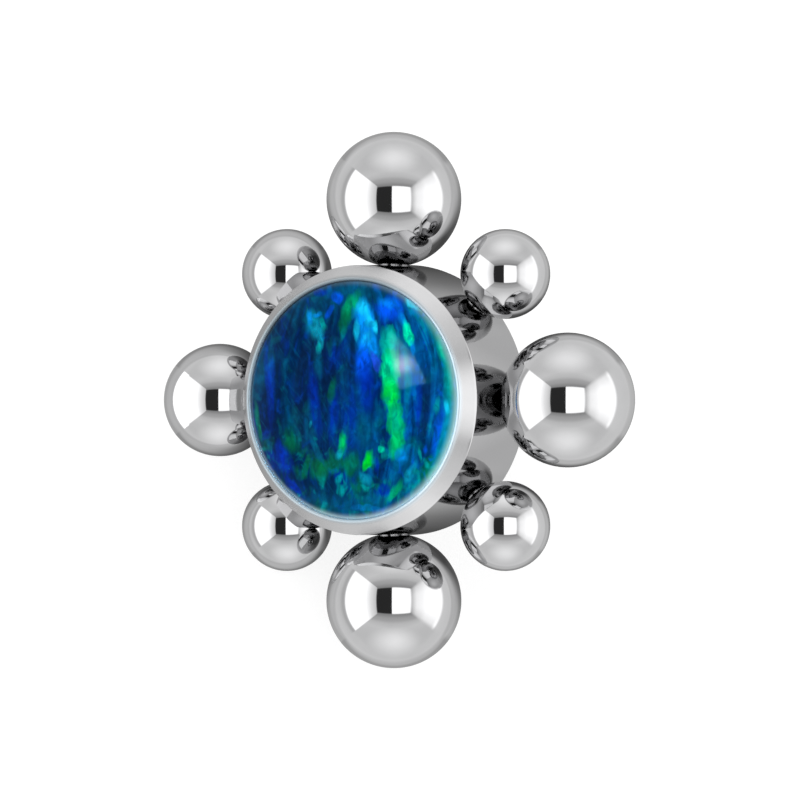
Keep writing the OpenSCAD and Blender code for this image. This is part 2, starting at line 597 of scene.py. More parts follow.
# How much of the room's light reaches a ray after so many mirrorings
DEPTH_TONES = ((1.0, 1.0), (2.0, 0.92), (3.0, 0.72), (4.0, 0.5), (5.0, 0.3))


def room_tones(graph):
    """How bright the room is in each direction."""
    look = graph.node("TexCoord", output="Generated")
    across = graph.dot(look, PHOTO_RIGHT)
    up = graph.dot(look, PHOTO_UP)
    near = graph.dot(look, TOWARDS_CAMERA)
    side = abs(across)
    lid = abs(up) / ROOM_HEIGHT
    front = near / ROOM_DEPTH
    wall = side.most(lid).most(front)
    x = across / wall
    y = up / wall
    z = near / wall
    glow_way = graph.vector(x / GLOW_ACROSS, (z - GLOW_MIDDLE) / GLOW_ALONG)
    glow = graph.vectors("LENGTH", glow_way, output="Value")
    lid_tone = graph.ramp(z, LID_TONES) + glow.smooth(1.0, 0.0) * GLOW_TONE
    on_right = across.smooth(-0.05, 0.05)
    falloff = 1 - abs(y).smooth(0.2, 0.75) * z.smooth(-0.05, 0.15) * RIGHT_FALLOFF
    right_tone = graph.ramp(z, RIGHT_TONES) * falloff
    sides = graph.mix(on_right, graph.ramp(z, LEFT_TONES), right_tone)
    corner = (1 - lid / side.most(0.01)) / (on_right * RIGHT_BLEND + WALL_BLEND)
    tone = graph.mix(corner.smooth(0.0, 1.0), lid_tone, sides)
    strip = x.inside(STRIP_LEFT, STRIP_RIGHT, PANEL_BLEND)
    panel = x.inside(STRIP_RIGHT, PANEL_RIGHT, PANEL_BLEND)
    facing = graph.mix(strip, grey(FRONT_GAP_TONE), grey(DARK_PANEL))
    facing = graph.mix(panel, facing, grey(WHITE))
    margin = abs(y).smooth(PANEL_HALF_HEIGHT - MARGIN_BLEND, PANEL_HALF_HEIGHT + MARGIN_BLEND)
    facing = graph.mix(margin, facing, grey(FRONT_MARGIN_TONE))
    on_front = (front - side.most(lid)).smooth(0.0, WALL_BLEND)
    return graph.mix(on_front, tone, facing)


def grey(tone):
    return (tone, tone, tone)


def make_world():
    """The room as the world, plain white where the camera looks past the floor."""
    world = bpy.data.worlds.new("studio_room")
    bpy.context.scene.world = world
    graph = Graph(world)
    path = graph.node("LightPath", output="Is Camera Ray")
    left = graph.ramp(path.out("Glossy Depth"), DEPTH_TONES)
    tones = graph.mix(left, grey(0.0), room_tones(graph))
    shown = graph.mix(path, tones, grey(1.0))
    background = graph.node("Background", {}, {"Color": shown, "Strength": 1.0})
    graph.node("OutputWorld", {}, {"Surface": background})


# The kinds of ray that don't see the floor, and those that don't see a card
FLOOR_UNSEEN = ("glossy", "diffuse", "shadow")
CARD_UNSEEN = ("camera", "diffuse", "shadow", "transmission")


def sheet(name, points, faces, unseen):
    """A flat piece of the stage, in metres, and the graph of its material."""
    mesh = bpy.data.meshes.new(name)
    mesh.from_pydata(points, [], faces)
    material = bpy.data.materials.new(name)
    mesh.materials.append(material)
    made = linked_object(name, mesh)
    for kind in unseen:
        setattr(made, "visible_" + kind, False)
    return made, Graph(material)


FLOOR_REACH = 0.5
FLOOR_GLOW = 0.8
FLOOR_ALBEDO = 0.3


def make_floor():
    """A pale floor that the polished metal doesn't mirror."""
    reach = FLOOR_REACH
    points = [(-reach, -reach, 0), (reach, -reach, 0), (reach, reach, 0), (-reach, reach, 0)]
    _, graph = sheet("floor", points, [(0, 1, 2, 3)], FLOOR_UNSEEN)
    values = {
        "Base Color": colour(grey(FLOOR_ALBEDO)),
        "Roughness": 1.0,
        "Specular IOR Level": 0.0,
        "Emission Color": colour(grey(1.0)),
        "Emission Strength": FLOOR_GLOW,
    }
    principled(graph, values)


# Painted shade: a round black card close behind the top, which only the metal mirrors, in
# place of the shade behind the top: how dark it is at each distance from its middle, in
# millimetres
CARD_BEHIND = 1.9
CARD_RIGHT = 0.45
PAINTED_SHADE_TONES = (
    (0.0, 0.87), (1.9, 0.86), (2.35, 0.72), (2.8, 0.54), (3.15, 0.38), (3.6, 0.26),
    (4.2, 0.2), (4.9, 0.21), (5.4, 0.12), (6.0, 0.0),
)
CARD_SEGMENTS = 64


def photo_point(right, up, near):
    """A point in metres from its place in the photograph, in millimetres from the ring."""
    return RING_CENTRE + MM * (PHOTO_RIGHT * right + PHOTO_UP * up + TOWARDS_CAMERA * near)


def make_painted_shade_card():
    """Painted shade: the card that darkens what the balls and the wall mirror behind them."""
    reach = PAINTED_SHADE_TONES[-1][0]
    points = []
    for step in range(CARD_SEGMENTS):
        angle = 2 * math.pi * step / CARD_SEGMENTS
        right = CARD_RIGHT + reach * math.cos(angle)
        points.append(photo_point(right, reach * math.sin(angle), -CARD_BEHIND))
    _, graph = sheet("black_card", points, [tuple(range(CARD_SEGMENTS))], CARD_UNSEEN)
    spot = own_position(graph)
    across = graph.dot(spot, PHOTO_RIGHT) - CARD_RIGHT
    away = graph.radius(across, graph.dot(spot, PHOTO_UP))
    clear = graph.node("BsdfTransparent")
    black = graph.node("Emission", {}, {"Strength": 0.0})
    values = {0: graph.ramp(away, PAINTED_SHADE_TONES), 1: clear, 2: black}
    shader = graph.node("MixShader", {}, values)
    graph.node("OutputMaterial", {}, {"Surface": shader})


# Far cards that glow for one piece alone: the directions of their corners in the
# photograph's view, to the right, upwards and towards the camera
CARD_DISTANCE = 60.0

# A window, which lies as a patch of light on the stone
WINDOW_CARD = "window_card"
WINDOW_CORNERS = (
    (-0.304, 0.675, 0.672),
    (-0.085, 0.48, 0.873),
    (0.056, 0.193, 0.98),
    (-0.252, 0.116, 0.96),
    (-0.32, 0.392, 0.862),
)
WINDOW_BRIGHTEST = (-0.183, 0.362, 0.851)
WINDOW_GLOW = 350.0
WINDOW_COLOUR = (0.22, 0.62, 0.88)
WINDOW_CORE_COLOUR = (0.8, 0.86, 1.0)
WINDOW_CORE_REACH = 0.14
FOLD_SCALE = 0.09

# The white wall on the left, which reaches farther back for the middle ball
WALL_CARD = "wall_card"
WALL_CORNERS = ((-1.0, 0.78, 0.0), (-1.0, 0.78, -0.44), (-1.0, -0.78, -0.44), (-1.0, -0.78, 0.0))
WALL_GLOW = 1.2


def far_point(way):
    """A point as far away as the glowing cards, in that direction of the photograph."""
    return photo_point(*(CARD_DISTANCE * np.array(way)))


def glowing_card(name, ways):
    """A far card and the graph of its material, with its closing shader still to be added."""
    fan = [(0, k, k + 1) for k in range(1, len(ways) - 1)]
    card, graph = sheet(name, [far_point(way) for way in ways], fan, CARD_UNSEEN)
    card.light_linking.receiver_collection = bpy.data.collections.new(name + "_lights")
    return graph


def glow_shader(graph, tint, glow):
    """Light added to whatever lies behind the card."""
    clear = graph.node("BsdfTransparent")
    light = graph.node("Emission", {}, {"Color": colour(tint), "Strength": glow})
    shader = graph.node("AddShader", {}, {0: clear, 1: light})
    graph.node("OutputMaterial", {}, {"Surface": shader})


def light_only(card_name, piece):
    """Makes a glowing card shine on that piece alone."""
    card = bpy.data.objects[card_name]
    card.light_linking.receiver_collection.objects.link(piece)


def make_glowing_cards():
    """The window and the wall behind the middle ball."""
    graph = glowing_card(WINDOW_CARD, WINDOW_CORNERS)
    where = graph.node("NewGeometry", output="Position")
    away = graph.vectors("DISTANCE", where, tuple(far_point(WINDOW_BRIGHTEST)), "Value")
    folds = graph.noise(own_position(graph), FOLD_SCALE, 2.0, 0.6, distortion=2.0)
    core = away.smooth(WINDOW_CORE_REACH * CARD_DISTANCE * MM, 0.0)
    glow = (folds.smooth(0.38, 0.66) * 0.45 + core * 1.6 + 0.5) * WINDOW_GLOW
    glow_shader(graph, graph.mix(core, WINDOW_COLOUR, WINDOW_CORE_COLOUR), glow)
    graph = glowing_card(WALL_CARD, WALL_CORNERS)
    glow_shader(graph, grey(1.0), WALL_GLOW)


CAMERA_DISTANCE = 0.03


def make_camera():
    """The photograph's parallel view."""
    camera = bpy.data.cameras.new("camera")
    camera.type = "ORTHO"
    camera.ortho_scale = PHOTO_SIZE / PIXELS_PER_MM * MM
    camera.clip_start = 0.001
    camera.clip_end = 1.0
    holder = linked_object("camera", camera)
    offset_x = (MIDDLE_PIXEL - RING_PIXEL_X) / PIXELS_PER_MM * MM
    offset_y = (RING_PIXEL_Y - MIDDLE_PIXEL) / PIXELS_PER_MM * MM
    target = RING_CENTRE + PHOTO_RIGHT * offset_x + PHOTO_UP * offset_y
    turn = Matrix([PHOTO_RIGHT, PHOTO_UP, TOWARDS_CAMERA]).transposed().to_4x4()
    holder.matrix_world = Matrix.Translation(target + TOWARDS_CAMERA * CAMERA_DISTANCE) @ turn
    bpy.context.scene.camera = holder


class TOP_OT_stage(bpy.types.Operator):
    """Make the floor, the room light and the camera"""

    bl_idname = "opal_top.stage"
    bl_label = "Stage"

    def execute(self, context):
        context.scene.view_settings.view_transform = "Standard"
        make_world()
        make_floor()
        make_painted_shade_card()
        make_glowing_cards()
        make_camera()
        return {"FINISHED"}


# Cup


CUP_SEGMENTS = 256

# Roundings of the cup's back, of its hole there and of the edges inside it
BACK_EDGE = 0.02
HOLE_EDGE = 0.012
INNER_EDGE = 0.01

# Under the lip: how far above the shoulder its inner wall ends, and how far below it the
# lip meets the cup's inner wall
LIP_LAND = 0.02
LIP_DROP = 0.05

Cup = namedtuple("Cup", "radius back shoulder seat ledge lip_radius seat_radius")


def all_sizes(context):
    """Radii and levels of the cup, and the sizes of the setting, the stone and the post."""
    sizes, stone, post = (millimetres(getattr(context.scene, name)) for name in GROUPS)
    radius = sizes.cup_diameter / 2
    back = -BALL_LIFT
    cup = Cup(
        radius,
        back,
        back + sizes.wall_height,
        back + sizes.floor_thickness,
        back + sizes.ledge_thickness,
        radius - sizes.rim_width,
        radius - sizes.wall_thickness,
    )
    return cup, sizes, stone, post


def make_cup(context):
    """The turned cup, its rim pressed down onto the stone."""
    cup, sizes, stone, post = all_sizes(context)
    hole = post.thread_diameter / 2 + stone.clearance
    counterbore = post.head_diameter / 2 + stone.clearance
    lip_top = cup.shoulder + sizes.rim_width * math.tan(sizes.rim_slope)
    corners = [
        (hole, cup.back, HOLE_EDGE),
        (cup.radius, cup.back, BACK_EDGE),
        (cup.radius, cup.shoulder, sizes.rim_edge),
        (cup.lip_radius, lip_top, sizes.lip_rounding),
        (cup.lip_radius, cup.shoulder + LIP_LAND, 0.0),
        (cup.seat_radius, cup.shoulder - LIP_DROP, 0.0),
        (cup.seat_radius, cup.seat, 0.0),
        (counterbore, cup.seat, INNER_EDGE),
        (counterbore, cup.ledge, 0.0),
        (hole, cup.ledge, INNER_EDGE),
    ]
    piece = revolved("bezel_cup", outline(corners), CUP_SEGMENTS, True)
    material = steel_material("turned_steel", context.scene.opal_top_setting.steel, 0.05, cup)
    finished(piece, material, "bezel_setting")


class TOP_OT_cup(bpy.types.Operator):
    """Make the bezel cup"""

    bl_idname = "opal_top.cup"
    bl_label = "Bezel cup"

    def execute(self, context):
        make_cup(context)
        return {"FINISHED"}


# Balls


BALL_SEGMENTS = 96
BALL_ROWS = 64
SOLDER_ROWS = 8
MIDDLE_BALL = "middle_ball_left"

# How far the solder's rim reaches into the wall
TUCK = 0.03

Ball = namedtuple("Ball", "name degrees diameter distance drop solder")


def ball_piece(ball, wall_radius):
    """A ball and the solder between it and the wall. The solder's surface is where a small
    ball would roll between the two, so it meets both without an edge."""
    radius = ball.diameter / 2
    distance = ball.distance
    turns = np.arange(BALL_SEGMENTS) * 2 * math.pi / BALL_SEGMENTS
    aside, upward = np.cos(turns), np.sin(turns)
    rolling = radius + ball.solder
    rim = wall_radius + ball.solder
    square = (rolling * upward) ** 2
    rest = distance**2 + (rolling * aside) ** 2 - rim**2
    lean = 2 * rest / (
        2 * distance * rolling
        + np.sqrt((2 * distance * rolling) ** 2 - 4 * square * rest)
    )
    touch = np.arccos(lean)
    rows = []
    normals = []
    for row in range(1, BALL_ROWS + 1):
        angle = math.pi + (touch - math.pi) * row / BALL_ROWS
        normal = np.stack([-np.cos(angle), np.sin(angle) * aside, np.sin(angle) * upward], 1)
        rows.append(np.array([distance, 0, 0]) + radius * normal)
        normals.append(normal)
    ball_normal = normals[-1]
    roller = np.array([distance, 0, 0]) + rolling * ball_normal
    wall_normal = roller * np.array([1, 1, 0])
    wall_normal /= np.linalg.norm(wall_normal, axis=1, keepdims=True)
    spread = np.arccos(np.clip((ball_normal * wall_normal).sum(1), -1, 1))[:, None]
    for row in range(1, SOLDER_ROWS + 1):
        share = row / SOLDER_ROWS
        normal = (
            np.sin((1 - share) * spread) * ball_normal + np.sin(share * spread) * wall_normal
        ) / np.sin(spread)
        rows.append(roller - ball.solder * normal)
        normals.append(normal)
    rows.append(rows[-1] - TUCK * wall_normal)
    normals.append(wall_normal)
    points = np.vstack([(distance + radius, 0, 0), *rows, (wall_radius - 2 * TUCK, 0, 0)])
    point_normals = np.vstack([(1, 0, 0), *normals, (-1, 0, 0)])
    faces = []
    count = BALL_SEGMENTS
    for k in range(count):
        following = (k + 1) % count
        faces.append((0, 1 + k, 1 + following))
        for row in range(len(rows) - 1):
            start = 1 + row * count
            end = start + count
            faces.append((start + k, end + k, end + following, start + following))
        start = 1 + (len(rows) - 1) * count
        faces.append((start + k, len(points) - 1, start + following))
    cosine = math.cos(math.radians(ball.degrees))
    sine = math.sin(math.radians(ball.degrees))
    turn = np.array([[cosine, sine, 0], [-sine, cosine, 0], [0, 0, 1]])
    points = points @ turn - np.array([0, 0, ball.drop])
    point_normals = point_normals @ turn
    corner_normals = point_normals[[corner for face in faces for corner in face]]
    return steady_object(ball.name, points, faces, corner_normals)


def ball_list(cup, sizes):
    """The eight balls round the cup."""
    far = cup.radius + sizes.large_ball / 2 - sizes.ball_bite
    close = cup.radius + sizes.small_ball / 2 - sizes.ball_bite
    large = (sizes.large_ball, far, 0.0, sizes.solder)
    middle = (sizes.middle_ball, far, 0.0, sizes.middle_solder)
    small = (sizes.small_ball, close, sizes.small_drop, sizes.solder)
    return [
        Ball("large_ball_right", 0, *large),
        Ball("small_ball_upper_right", 45, *small),
        Ball("large_ball_top", 90, *large),
        Ball("small_ball_upper_left", 135, *small),
        Ball(MIDDLE_BALL, 180, *middle),
        Ball("small_ball_lower_left", 225, *small),
        Ball("large_ball_bottom", 270, *large),
        Ball("small_ball_lower_right", 315, *small),
    ]


def make_balls(context):
    """The eight balls."""
    cup, sizes, _, _ = all_sizes(context)
    material = steel_material("polished_balls", context.scene.opal_top_setting.steel, 0.035)
    for ball in ball_list(cup, sizes):
        piece = ball_piece(ball, cup.radius)
        finished(piece, material, "bezel_setting")
        if ball.name == MIDDLE_BALL:
            light_only(WALL_CARD, piece)


class TOP_OT_balls(bpy.types.Operator):
    """Make the eight soldered balls"""

    bl_idname = "opal_top.balls"
    bl_label = "Soldered balls"

    def execute(self, context):
        make_balls(context)
        return {"FINISHED"}


# Opal


STONE_SEGMENTS = 192
DOME_ROWS = 48

# Roundings of the stone's base and girdle, and how far it runs in under the lip
BASE_EDGE = 0.06
GIRDLE_EDGE = 0.02
UNDER_LIP = 0.012

Flash = namedtuple("Flash", "x y wide long lean paint cover soft")


def flash(x, y, wide, long, paint, lean=0, cover=1.0, soft=0.5):
    """A flash of colour in the stone, measured on the photograph: the pixel of its middle,
    half its width and length in pixels, its lean to the right in degrees at its upper end,
    its paint, how much of the body it covers, and how much of its size is soft edge."""
    return Flash(x, y, wide, long, lean, paint, cover, soft)


FLASHES = (
    # soft streaks of the body
    flash(x=268, y=388, wide=3, long=34, paint="royal", lean=-3, cover=0.55),
    flash(x=271, y=372, wide=3, long=16, paint="blue", cover=0.3),
    flash(x=314, y=403, wide=5, long=32, paint="royal", lean=-6, cover=0.6),
    flash(x=333, y=413, wide=5, long=24, paint="royal", lean=4, cover=0.7),
    flash(x=352, y=418, wide=4, long=30, paint="royal", lean=-2, cover=0.5),
    flash(x=283, y=457, wide=7, long=17, paint="royal", lean=-22, cover=0.85),
    flash(x=294, y=485, wide=4, long=12, paint="royal", lean=-40, cover=0.8),
    flash(x=418, y=403, wide=4, long=20, paint="royal", cover=0.8),
    flash(x=437, y=431, wide=4, long=24, paint="blue", lean=10, cover=0.55),
    flash(x=436, y=395, wide=5, long=30, paint="deep", cover=0.6),
    flash(x=362, y=430, wide=9, long=18, paint="petrol", cover=0.6, soft=0.8),
    flash(x=404, y=470, wide=12, long=22, paint="petrol", cover=0.5, soft=0.8),
    flash(x=345, y=505, wide=34, long=9, paint="petrol", cover=0.3, soft=0.8),
    flash(x=352, y=289, wide=40, long=7, paint="petrol", cover=0.3, soft=0.8),
    # upper left cluster
    flash(x=320, y=291, wide=8, long=4, paint="royal", cover=0.7),
    flash(x=338, y=297, wide=7, long=6, paint="blue", lean=-20, cover=0.8),
    flash(x=330, y=312, wide=3, long=7, paint="blue", lean=32, cover=0.6),
    flash(x=313, y=322, wide=9, long=14, paint="turquoise", lean=-14, cover=0.6, soft=0.6),
    flash(x=308, y=317, wide=3, long=8, paint="azure", cover=0.6),
    flash(x=317, y=313, wide=5, long=2.5, paint="azure", lean=-10, cover=0.6),
    flash(x=323, y=322, wide=2.5, long=6, paint="teal", lean=-20, cover=0.8),
    flash(x=318, y=330, wide=5, long=6, paint="turquoise", cover=0.6),
    flash(x=320, y=343, wide=3.5, long=9, paint="turquoise", lean=8, cover=0.8),
    flash(x=319, y=346, wide=2, long=4, paint="mint", lean=8, cover=0.3),
    flash(x=318, y=362, wide=4, long=14, paint="petrol", cover=0.6, soft=0.8),
    # slanted green and the azure flame
    flash(x=351, y=306, wide=6, long=15, paint="jade", lean=22, cover=0.6),
    flash(x=344, y=322, wide=5, long=13, paint="moss", lean=24, cover=0.85),
    flash(x=342, y=333, wide=3, long=8, paint="teal", lean=18, cover=0.4),
    flash(x=364, y=318, wide=9, long=17, paint="azure", lean=-8, cover=0.95, soft=0.35),
    flash(x=362, y=309, wide=6, long=9, paint="cyan", lean=-20, cover=0.7),
    flash(x=367, y=320, wide=4, long=8, paint="cyan", lean=-10, cover=0.6),
    flash(x=374, y=327, wide=3.5, long=7, paint="cyan", lean=-10, cover=0.9),
    flash(x=356, y=330, wide=2.5, long=10, paint="cyan", cover=0.6),
    flash(x=366, y=341, wide=9, long=13, paint="azure", cover=0.9),
    flash(x=366, y=340, wide=5, long=8, paint="cyan", lean=10, cover=0.5),
    flash(x=364, y=360, wide=8, long=20, paint="blue", cover=0.85),
    flash(x=366, y=385, wide=9, long=24, paint="royal", cover=0.85),
    flash(x=374, y=349, wide=4, long=13, paint="azure", lean=-8, cover=0.8),
    # blue blob and the cyan edge beside it
    flash(x=389, y=308, wide=13, long=12, paint="blue", lean=-20, cover=0.95, soft=0.4),
    flash(x=387, y=302, wide=9, long=5, paint="azure", lean=10, cover=0.5),
    flash(x=391, y=318, wide=9, long=6, paint="royal", lean=-10, cover=0.3),
    flash(x=411, y=303, wide=3, long=9, paint="cyan", lean=-42, cover=1.0, soft=0.3),
    flash(x=404, y=322, wide=3, long=9, paint="azure", lean=-20, cover=0.85),
    flash(x=408, y=334, wide=4, long=14, paint="mint", lean=-14, cover=1.0, soft=0.3),
    flash(x=413, y=348, wide=3, long=9, paint="azure", lean=-18, cover=0.5),
    # the long flash
    flash(x=388, y=345, wide=9, long=18, paint="teal", lean=4, cover=1.0, soft=0.25),
    flash(x=389, y=344, wide=6, long=15, paint="mint", lean=4, cover=0.35),
    flash(x=390, y=367, wide=9, long=19, paint="jade", lean=-2, cover=1.0, soft=0.25),
    flash(x=389, y=370, wide=7, long=20, paint="mint", lean=-2, cover=0.75),
    flash(x=376, y=362, wide=3, long=10, paint="violet", lean=-18, cover=0.9, soft=0.3),
    flash(x=390, y=394, wide=7, long=16, paint="green", lean=-6, cover=0.8, soft=0.5),
    flash(x=396, y=424, wide=8, long=25, paint="jade", lean=-4, cover=0.95, soft=0.3),
    flash(x=396, y=425, wide=5, long=16, paint="teal", lean=-4, cover=0.45),
    flash(x=395, y=443, wide=7, long=13, paint="jade", lean=8, cover=0.85),
    flash(x=401, y=455, wide=8, long=5, paint="azure", lean=50, cover=0.6),
    # right side
    flash(x=441, y=350, wide=4, long=20, paint="teal", lean=-10, cover=0.75),
    flash(x=441, y=350, wide=2, long=9, paint="mint", lean=-12, cover=0.3),
    flash(x=448, y=378, wide=4, long=18, paint="teal", lean=-4, cover=0.8),
    flash(x=445, y=407, wide=3, long=7, paint="cyan", cover=0.7),
    flash(x=437, y=406, wide=2, long=9, paint="teal", lean=6, cover=0.6),
    flash(x=447, y=425, wide=5, long=22, paint="azure", lean=8, cover=0.35, soft=0.8),
    # lower part
    flash(x=342, y=444, wide=4.5, long=13, paint="jade", lean=10, cover=0.75),
    flash(x=344, y=440, wide=2, long=7, paint="green", lean=10, cover=0.25),
    flash(x=338, y=453, wide=4, long=5, paint="turquoise", cover=0.7),
    flash(x=367, y=459, wide=4, long=10, paint="green", lean=12, cover=0.95),
    flash(x=381, y=448, wide=3, long=3, paint="mint", cover=0.7),
    flash(x=291, y=440, wide=7, long=12, paint="moss", lean=-20, cover=0.8),
    flash(x=319, y=468, wide=9, long=11, paint="moss", lean=-10, cover=0.85),
    flash(x=350, y=464, wide=9, long=12, paint="moss", lean=20, cover=0.75),
    flash(x=332, y=389, wide=4, long=13, paint="moss", lean=12, cover=0.7),
    flash(x=317, y=450, wide=3, long=17, paint="petrol", lean=-28, cover=0.8),
    flash(x=310, y=423, wide=1.5, long=4, paint="turquoise", lean=10, cover=0.4),
    flash(x=338, y=478, wide=3, long=5, paint="teal", lean=20, cover=0.8),
    flash(x=365, y=478, wide=8, long=5, paint="turquoise", lean=60, cover=0.5),
    flash(x=410, y=473, wide=4, long=12, paint="turquoise", lean=24, cover=0.6),
    flash(x=382, y=490, wide=7, long=6, paint="royal", cover=0.9),
    flash(x=393, y=491, wide=4, long=11, paint="jade", lean=36, cover=0.65),
    flash(x=366, y=508, wide=14, long=3, paint="azure", cover=0.4),
    flash(x=257, y=420, wide=2.5, long=18, paint="jade", lean=-8, cover=0.28),
    flash(x=376, y=462, wide=3, long=8, paint="royal", cover=0.6),
)


# The middle of the stone across the photograph's view, and half its height there
STONE_ACROSS = -0.445
STONE_HALF_HEIGHT = 1.62

# How many times its own size a flash may reach before it has faded out for certain
FADE_REACH = 3.0

# How far out the soft edge of a flash reaches, as a share of how far in
OUTER_SOFTNESS = 0.8


def streaks(graph, across, upward, across_scale, upward_scale, layer):
    """Noise that is drawn out along the stone's upright strands."""
    drawn = graph.vector(across * across_scale, upward * upward_scale, layer)
    return graph.noise(drawn, 1.0, 2.0, 0.5, distortion=0.6)


def opal_body(graph, paints, across, upward):
    """The stone's body: upright strands that follow its round outline, with fine slanting
    fibres over them, mossy and teal mottling at its foot and more light on its right."""
    share = upward / STONE_HALF_HEIGHT
    bulge = (1 - share * share).most(0.1).root()
    strand = (across - STONE_ACROSS) / bulge
    low = upward.smooth(-0.15, -0.75)
    right = strand.smooth(0.1, 0.95)
    broad = streaks(graph, strand, upward, 3.4, 1.1, 1.0)
    strands = streaks(graph, strand, upward, 8.0, 1.2, 2.0)
    fine = streaks(graph, strand, upward, 26.0, 3.4, 3.0)
    mottle = streaks(graph, across, upward, 8.0, 4.6, 4.0)
    tufts = streaks(graph, across, upward, 5.8, 3.4, 5.0)
    fibres = streaks(graph, across + upward * 0.55, upward - across * 0.3, 16.0, 3.0, 6.0)
    body = graph.mix(strand.smooth(-0.6, 1.0), paints["navy"], paints["deep"])
    # Each layer: its noise, where it starts, where it is full, how much it covers, its paint
    layers = (
        (broad, 0.50, 0.68, 0.6, "petrol"),
        (broad, 0.46, 0.30, 0.5, "royal"),
        (strands, 0.62, 0.34, 0.8, "night"),
        (abs(upward), 0.8, 1.35, 0.5, "petrol"),
        (tufts, 0.5, 0.68, low * 0.75, "moss"),
        (mottle, 0.54, 0.74, low * 0.65 + 0.12, "teal"),
        (mottle, 0.44, 0.26, right * 0.5 + 0.15, "blue"),
        (strands, 0.52, 0.72, right * 0.6, "teal"),
        (fine, 0.55, 0.75, 0.15, "royal"),
        (fine, 0.44, 0.26, 0.2, "night"),
        (fibres, 0.56, 0.72, 0.2, "petrol"),
    )
    for noise, start, full, cover, paint_name in layers:
        body = graph.mix(noise.smooth(start, full) * cover, body, paints[paint_name])
    return body


def shifted(graph, flat, across_scale, upward_scale, reach):
    """The flat place, moved about by a noise of that scale and reach."""
    drawn = graph.vectors("MULTIPLY", flat, (across_scale, upward_scale, 1.0))
    wobble = graph.noise(drawn, 1.0, 3.0, 0.6, "Color")
    centred = graph.vectors("SUBTRACT", wobble, (0.5, 0.5, 0.5))
    return graph.vectors("ADD", flat, graph.vectors("MULTIPLY", centred, (reach, reach, 0.0)))


def opal_flashes(graph, paints, body, across, upward):
    """Lays the flashes over the body. Brushed noise frays their edges and thins them."""
    flat = shifted(graph, graph.vector(across, upward), 4.0, 1.6, 0.12)
    flat = shifted(graph, flat, 9.0, 3.0, 0.06)
    brushed = streaks(graph, across, upward, 15.0, 3.6, 7.0)
    dabs = streaks(graph, across, upward, 12.0, 8.0, 8.0)
    fray = (brushed + dabs - 1) * (1.0 / FADE_REACH)
    thread = (brushed * 0.6 + dabs * 0.4).smooth(0.30, 0.6)
    reach = FADE_REACH / PIXELS_PER_MM
    for spark in FLASHES:
        right = (spark.x - RING_PIXEL_X) / PIXELS_PER_MM
        up = (RING_PIXEL_Y - spark.y) / PIXELS_PER_MM
        values = {
            "Vector": flat,
            "Location": (right, up, 0.0),
            "Rotation": (0.0, 0.0, -math.radians(spark.lean)),
            "Scale": (spark.wide * reach, spark.long * reach, 1.0),
        }
        local = graph.node("Mapping", {"vector_type": "TEXTURE"}, values)
        settings = {"gradient_type": "SPHERICAL"}
        nearness = graph.node("TexGradient", settings, {"Vector": local}, "Fac")
        outer = 1 - (1 + spark.soft * OUTER_SOFTNESS) / FADE_REACH
        inner = 1 - (1 - spark.soft) / FADE_REACH
        mask = (nearness - fray).smooth(outer, inner)
        cover = mask * (thread * 0.5 + 0.5) * spark.cover
        body = graph.mix(cover, body, paints[spark.paint])
    lit = graph.scaled(body, dabs.smooth(0.34, 0.7) * 0.5 + 0.78)
    return graph.mix(brushed.smooth(0.45, 0.25) * 0.3, lit, paints["night"])


# How far in from the stone's edge the painted reflection of the lip reaches
EDGE_REFLECTION_WIDTH = 0.09


def opal_edge_reflection(graph, paints, body, spot, edge_radius):
    """Painted reflection of the metal lip in the stone's edge: a pale ring, strongest on the right
    and at the bottom, with mint on the right.
    """
    x = graph.dot(spot, AXIS_X)
    y = graph.dot(spot, AXIS_Y)
    inwards = edge_radius - graph.radius(x, y)
    body = graph.mix(inwards.smooth(0.13, 0.0) * x.smooth(0.5, 1.2) * 0.3, body, paints["mint"])
    near = (1 - inwards / EDGE_REFLECTION_WIDTH).most(0.0)
    strength = (x * 0.34 - y * 0.361 + 0.74).most(0.08)
    return graph.mix(near * near * near * strength, body, paints["edge"])


def opal_material(context, edge_radius):
    """Dark blue opal with upright flashes."""
    group = context.scene.opal_top_stone
    paints = {
        name: tuple(getattr(group, name))
        for name, kind in group.bl_rna.properties.items()
        if kind.type == "FLOAT" and kind.is_array
    }
    material = bpy.data.materials.new("blue_opal")
    graph = Graph(material)
    spot = own_position(graph)
    across = graph.dot(spot, PHOTO_RIGHT)
    upward = graph.dot(spot, PHOTO_UP)
    body = opal_body(graph, paints, across, upward)
    body = opal_flashes(graph, paints, body, across, upward)
    body = opal_edge_reflection(graph, paints, body, spot, edge_radius)
    values = {"Base Color": body, "Roughness": 0.05, "IOR": 1.45, "Specular IOR Level": 0.012}
    principled(graph, values)
    return material


